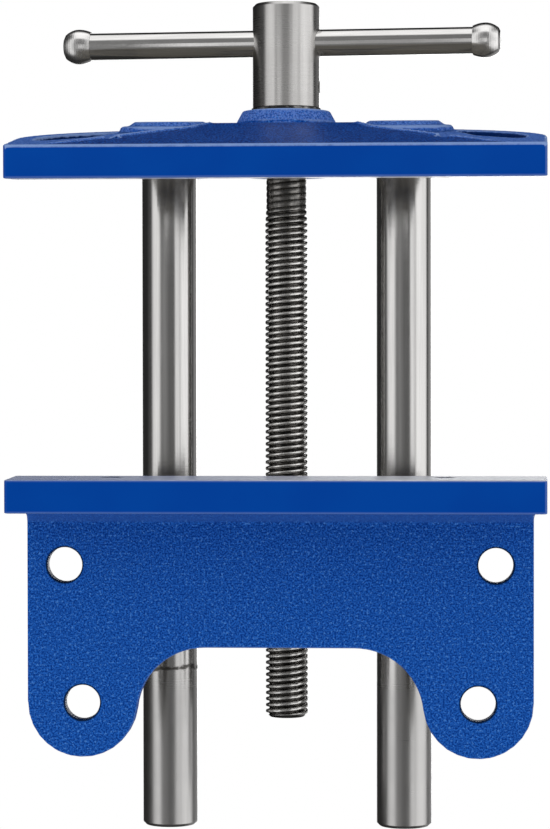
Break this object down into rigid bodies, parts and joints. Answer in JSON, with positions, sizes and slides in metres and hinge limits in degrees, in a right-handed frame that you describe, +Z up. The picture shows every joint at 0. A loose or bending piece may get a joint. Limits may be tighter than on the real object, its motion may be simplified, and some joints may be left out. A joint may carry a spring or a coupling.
{
  "type": "woodworking vise",
  "caption": "Woodworking vise that bolts under a bench edge: flat cast jaws on parallel guide rods, moved by a central screw with a sliding bar handle.",
  "frame": {"origin": "middle of the four bench bolts, on the upper face of the mounting plate, which meets the underside of the bench", "axes": "+Z up, through the bench; +Y along the guide rods, from the handle towards the bench; +X along the jaws, to the right of someone who stands at the handle"},
  "size_m": [0.1678, 0.27, 0.0928],
  "materials": {
    "blue_casting": "smooth satin blue enamel over sand-cast iron",
    "machined_steel": "turned and ground, bright",
    "oiled_steel": "turned thread, dark with oil, bright crests",
    "dark_steel": "blackened, lightly oiled",
    "zinc_steel": "dull zinc plating"
  },
  "bodies": {
    "rear_jaw": {"rear_jaw_casting": "blue_casting", "screw_nut": "machined_steel", "nut_set_screw": "dark_steel"},
    "front_jaw": {"front_jaw_casting": "blue_casting", "guide_rod_left": "machined_steel", "guide_rod_right": "machined_steel", "rod_pin_left": "dark_steel", "rod_pin_right": "dark_steel"},
    "screw": {"lead_screw": "oiled_steel", "screw_hub": "machined_steel", "hub_pin": "dark_steel", "thrust_washer": "dark_steel", "retaining_washer": "zinc_steel", "retaining_ring": "dark_steel"},
    "handle": {"handle_bar": "machined_steel", "handle_knob_left": "machined_steel", "handle_knob_right": "machined_steel"}
  },
  "joints": [
    {"name": "jaw_slide", "type": "slide", "parent": "rear_jaw", "child": "front_jaw", "axis": [0, 1, 0], "range_m": [-0.0224, 0.0913]},
    {"name": "screw_turn", "type": "hinge", "parent": "front_jaw", "child": "screw", "pos_m": [0, -0.1682, -0.0465], "axis": [0, 1, 0], "range_deg": [-2016, 8217]},
    {"name": "handle_slide", "type": "slide", "parent": "screw", "child": "handle", "axis": [0.9962, 0, -0.0872], "range_m": [-0.0538, 0.05]}
  ],
  "couplings": [
    {"joint": "jaw_slide", "follows": "screw_turn", "m_per_rad": 0.00063662}
  ]
}
